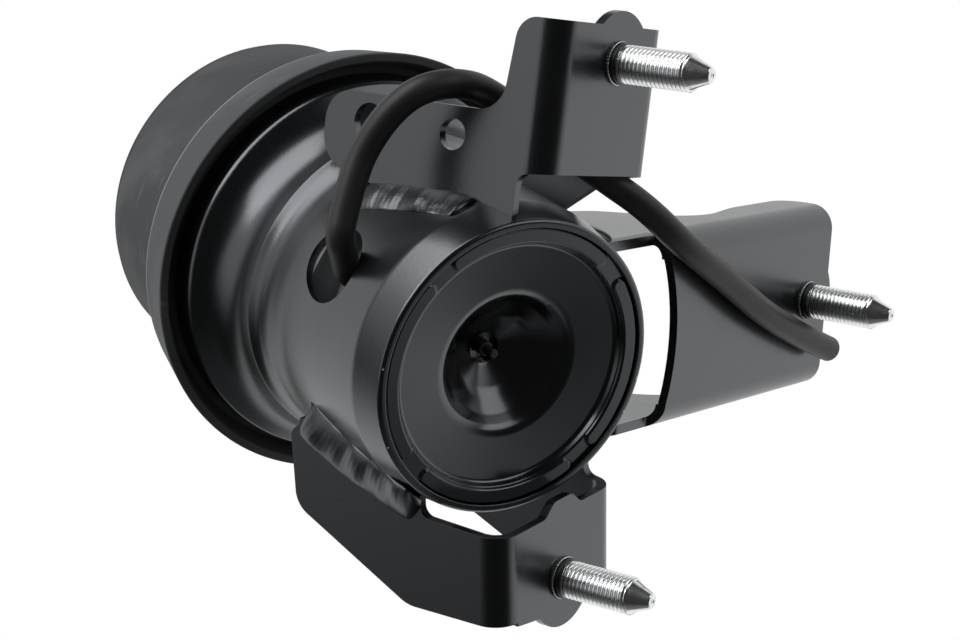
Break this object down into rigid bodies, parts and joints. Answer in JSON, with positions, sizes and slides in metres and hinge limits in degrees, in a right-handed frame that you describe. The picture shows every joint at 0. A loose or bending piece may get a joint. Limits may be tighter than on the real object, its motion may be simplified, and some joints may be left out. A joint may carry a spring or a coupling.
{
  "type": "engine mount",
  "caption": "Fluid-filled rubber engine mount: a leaning round steel cup on welded stud brackets, with a rubber skirt, a stopper drum and a vacuum hose.",
  "frame": {"origin": "centre of the stud circle, on the plane that the bracket plates seat on", "axes": "-Z along the bracket studs, away from the cup; the cup's axis leans from +Z towards +X"},
  "size_m": [0.1842, 0.1595, 0.1992],
  "materials": {
    "black_paint": "semi-gloss",
    "weld": "satin",
    "cover_paint": "gloss",
    "zinc": "bright",
    "core_steel": "satin",
    "inner_steel": "satin",
    "outer_rubber": "matte",
    "inner_rubber": "matte",
    "hose_rubber": "satin",
    "pale_plastic": "matte",
    "plate_alloy": "satin",
    "plug_rubber": "satin"
  },
  "bodies": {
    "root": {"lower_housing": "black_paint", "end_cover": "cover_paint", "centre_plug": "plug_rubber", "vacuum_chamber": "pale_plastic", "vacuum_spring": "inner_steel", "vacuum_membrane": "inner_rubber", "rolling_diaphragm": "inner_rubber", "lower_orifice_plate": "plate_alloy", "decoupler_disc": "inner_rubber", "upper_orifice_plate": "plate_alloy", "bonded_ring": "inner_steel", "rubber_spring": "inner_rubber", "inner_core": "core_steel", "top_stud": "zinc", "locating_pin": "zinc", "rubber_skirt": "outer_rubber", "drum_shell": "inner_steel", "drum_cover": "outer_rubber", "upper_bracket": "black_paint", "right_bracket": "black_paint", "lower_bracket": "black_paint", "right_stud": "zinc", "lower_stud": "zinc", "upper_stud": "zinc", "upper_near_weld": "weld", "upper_far_weld": "weld", "right_near_weld": "weld", "right_far_weld": "weld", "lower_near_weld": "weld", "lower_far_weld": "weld", "hose": "hose_rubber"}
  },
  "joints": []
}
